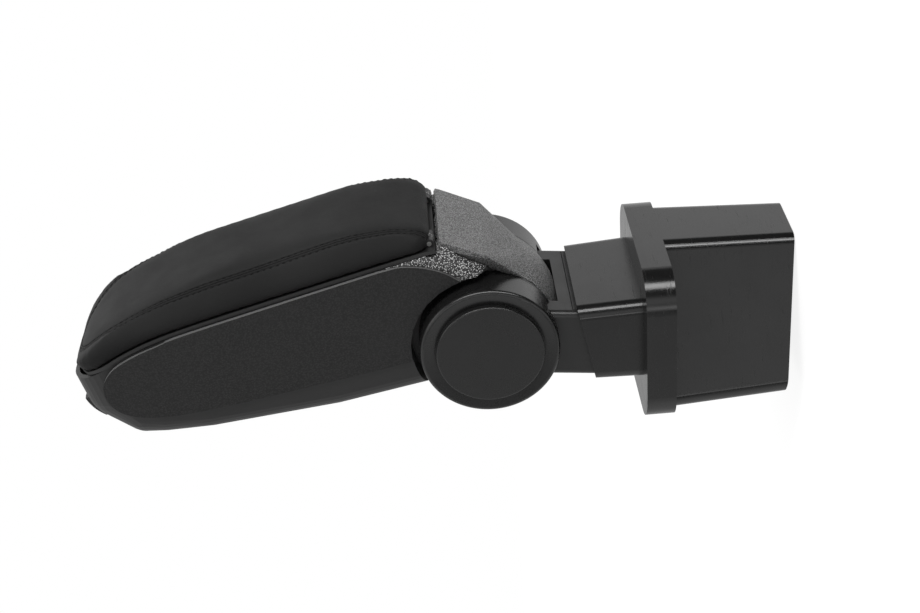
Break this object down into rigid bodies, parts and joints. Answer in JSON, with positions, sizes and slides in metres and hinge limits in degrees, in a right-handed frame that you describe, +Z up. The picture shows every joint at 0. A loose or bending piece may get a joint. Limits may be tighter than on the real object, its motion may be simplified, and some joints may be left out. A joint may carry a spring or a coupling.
{
  "type": "car centre armrest",
  "caption": "Padded car centre armrest with a lidded storage tub, tilting on a round friction hinge above a leaning stem, a flange and a tapered insert box.",
  "frame": {"origin": "middle of the flange underside, where the flange seats on the console", "axes": "+Z up the stem, +X the way the armrest points when it is lowered, +Y to the left of the car"},
  "size_m": [0.1476, 0.128, 0.4776],
  "materials": {
    "box_plastic": "semi-gloss moulded black",
    "stem_plastic": "satin moulded black",
    "grained_plastic": "fine leather grain, moulded black",
    "pad_cover": "matt grained cover with black double stitching",
    "mat_rubber": "matt",
    "steel": "zinc plated",
    "friction_brass": "plain"
  },
  "bodies": {
    "base": {"insert_box": "box_plastic", "adapter_neck": "box_plastic", "flange_screws": "steel", "stem": "stem_plastic", "stem_cover": "stem_plastic", "stem_screws": "steel", "cap_left": "stem_plastic", "cap_right": "stem_plastic", "cap_disc_left": "stem_plastic", "cap_disc_right": "stem_plastic", "hinge_axle": "steel", "axle_nut": "steel", "spring_washers": "steel"},
    "armrest": {"tub": "stem_plastic", "hinge_sleeve": "steel", "friction_washers": "friction_brass", "rear_cowl": "grained_plastic", "cowl_screws": "steel", "side_panel_left": "grained_plastic", "side_panel_right": "grained_plastic", "tub_mat": "mat_rubber", "lid_pins": "steel", "latch_spring": "steel"},
    "lid": {"lid_plate": "stem_plastic", "lid_cushion": "pad_cover", "latch_striker": "steel"},
    "button": {"latch_button": "stem_plastic"}
  },
  "joints": [
    {"name": "armrest_tilt", "type": "hinge", "parent": "base", "child": "armrest", "pos_m": [-0.0078, 0, 0.118], "axis": [0, 1, 0], "range_deg": [0, 75]},
    {"name": "lid_swing", "type": "hinge", "parent": "armrest", "child": "lid", "pos_m": [-0.08061, 0, 0.15149], "axis": [0, -1, 0], "range_deg": [0, 60]},
    {"name": "button_press", "type": "slide", "parent": "armrest", "child": "button", "axis": [-0.2588, 0, -0.9659], "range_m": [0, 0.0025], "stiffness_N_per_m": 600, "deforming": ["latch_spring"]}
  ]
}
